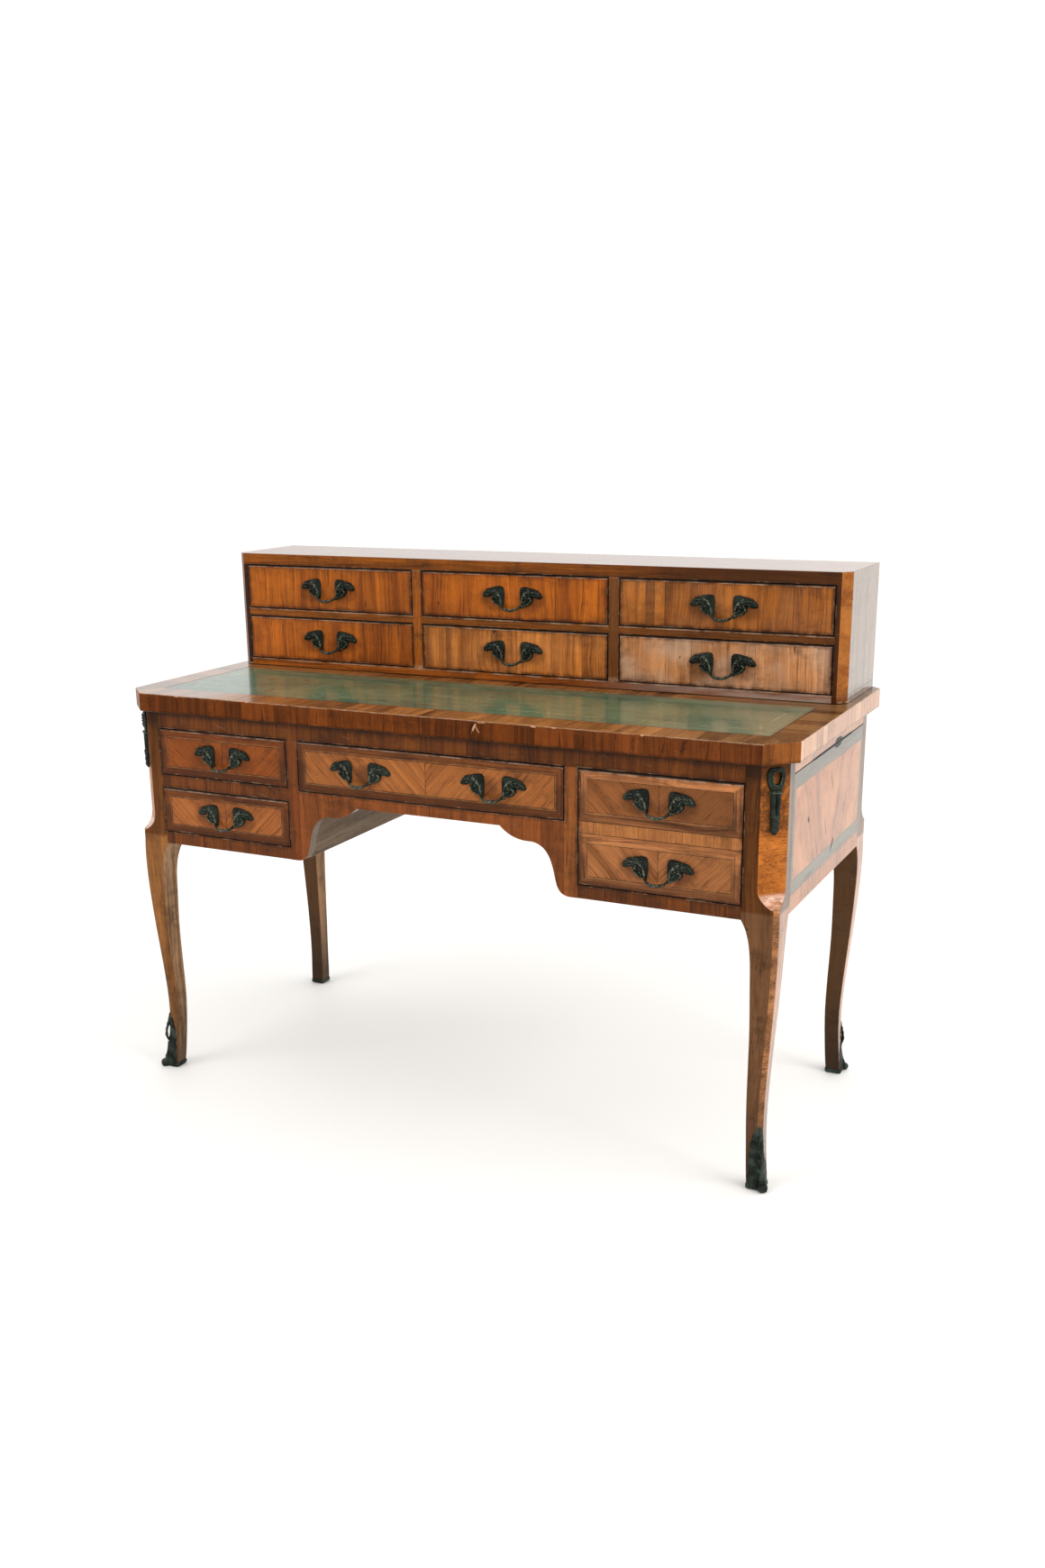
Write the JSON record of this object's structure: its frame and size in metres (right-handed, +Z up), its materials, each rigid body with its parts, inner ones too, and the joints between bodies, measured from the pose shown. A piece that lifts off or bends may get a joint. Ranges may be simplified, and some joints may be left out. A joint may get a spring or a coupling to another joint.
{
  "type": "bonheur du jour",
  "caption": "Veneered writing desk on cabriole legs with a drawer cabinet on its leather-lined top, pedestal drawers beside a kneehole, and cast bronze pulls.",
  "frame": {"origin": "on the floor, under the middle of the whole plan, pulls included", "axes": "+X to the right of a sitter facing the desk, +Y to the back, +Z up"},
  "size_m": [1.3, 0.6016, 0.998],
  "materials": {
    "veneer_drawer": "polished veneer",
    "veneer_dark": "polished crossbanded veneer",
    "carcass_wood": "plain sawn secondary wood",
    "drawer_lining": "plain planed oak",
    "green_leather": "waxed and tooled",
    "bronze": "dark green patina"
  },
  "bodies": {
    "desk": {"desktop": "veneer_dark", "writing_leather": "green_leather", "leg_front_left": "veneer_dark", "leg_front_right": "veneer_dark", "leg_back_left": "veneer_dark", "leg_back_right": "veneer_dark", "side_panel_left": "veneer_dark", "side_panel_right": "veneer_dark", "side_top_rails": "veneer_dark", "back_panels": "carcass_wood", "inner_side_left": "carcass_wood", "inner_side_right": "carcass_wood", "front_top_rail": "veneer_dark", "front_stiles": "veneer_dark", "mid_rail_left": "veneer_dark", "bottom_rails": "veneer_dark", "pedestal_bottoms": "carcass_wood", "kneehole_ceiling": "carcass_wood", "apron": "veneer_dark", "drawer_runners": "carcass_wood", "drawer_guides": "carcass_wood", "cabinet_bottom": "veneer_dark", "cabinet_top": "veneer_dark", "cabinet_side_left": "veneer_dark", "cabinet_side_right": "veneer_dark", "cabinet_back": "carcass_wood", "cabinet_partitions": "veneer_dark", "cabinet_shelves": "veneer_dark", "chute_mounts": "bronze", "sabots": "bronze"},
    "cabinet_left_low_drawer": {"cabinet_left_low_front": "veneer_drawer", "cabinet_left_low_box": "drawer_lining", "cabinet_left_low_pull": "bronze"},
    "cabinet_left_top_drawer": {"cabinet_left_top_front": "veneer_drawer", "cabinet_left_top_box": "drawer_lining", "cabinet_left_top_pull": "bronze"},
    "cabinet_middle_low_drawer": {"cabinet_middle_low_front": "veneer_drawer", "cabinet_middle_low_box": "drawer_lining", "cabinet_middle_low_pull": "bronze"},
    "cabinet_middle_top_drawer": {"cabinet_middle_top_front": "veneer_drawer", "cabinet_middle_top_box": "drawer_lining", "cabinet_middle_top_pull": "bronze"},
    "cabinet_right_low_drawer": {"cabinet_right_low_front": "veneer_drawer", "cabinet_right_low_box": "drawer_lining", "cabinet_right_low_pull": "bronze"},
    "cabinet_right_top_drawer": {"cabinet_right_top_front": "veneer_drawer", "cabinet_right_top_box": "drawer_lining", "cabinet_right_top_pull": "bronze"},
    "left_upper_drawer": {"left_upper_front": "veneer_drawer", "left_upper_box": "drawer_lining", "left_upper_pull": "bronze"},
    "left_lower_drawer": {"left_lower_front": "veneer_drawer", "left_lower_box": "drawer_lining", "left_lower_pull": "bronze"},
    "right_deep_drawer": {"right_deep_front": "veneer_drawer", "right_deep_box": "drawer_lining", "right_deep_pulls": "bronze"},
    "centre_drawer": {"centre_front": "veneer_drawer", "centre_box": "drawer_lining", "centre_pulls": "bronze"}
  },
  "joints": [
    {"name": "cabinet_left_low_slide", "type": "slide", "parent": "desk", "child": "cabinet_left_low_drawer", "axis": [0, -1, 0], "range_m": [0, 0.12]},
    {"name": "cabinet_left_top_slide", "type": "slide", "parent": "desk", "child": "cabinet_left_top_drawer", "axis": [0, -1, 0], "range_m": [0, 0.12]},
    {"name": "cabinet_middle_low_slide", "type": "slide", "parent": "desk", "child": "cabinet_middle_low_drawer", "axis": [0, -1, 0], "range_m": [0, 0.12]},
    {"name": "cabinet_middle_top_slide", "type": "slide", "parent": "desk", "child": "cabinet_middle_top_drawer", "axis": [0, -1, 0], "range_m": [0, 0.12]},
    {"name": "cabinet_right_low_slide", "type": "slide", "parent": "desk", "child": "cabinet_right_low_drawer", "axis": [0, -1, 0], "range_m": [0, 0.12]},
    {"name": "cabinet_right_top_slide", "type": "slide", "parent": "desk", "child": "cabinet_right_top_drawer", "axis": [0, -1, 0], "range_m": [0, 0.12]},
    {"name": "left_upper_slide", "type": "slide", "parent": "desk", "child": "left_upper_drawer", "axis": [0, -1, 0], "range_m": [0, 0.38]},
    {"name": "left_lower_slide", "type": "slide", "parent": "desk", "child": "left_lower_drawer", "axis": [0, -1, 0], "range_m": [0, 0.38]},
    {"name": "right_deep_slide", "type": "slide", "parent": "desk", "child": "right_deep_drawer", "axis": [0, -1, 0], "range_m": [0, 0.38]},
    {"name": "centre_slide", "type": "slide", "parent": "desk", "child": "centre_drawer", "axis": [0, -1, 0], "range_m": [0, 0.38]}
  ]
}
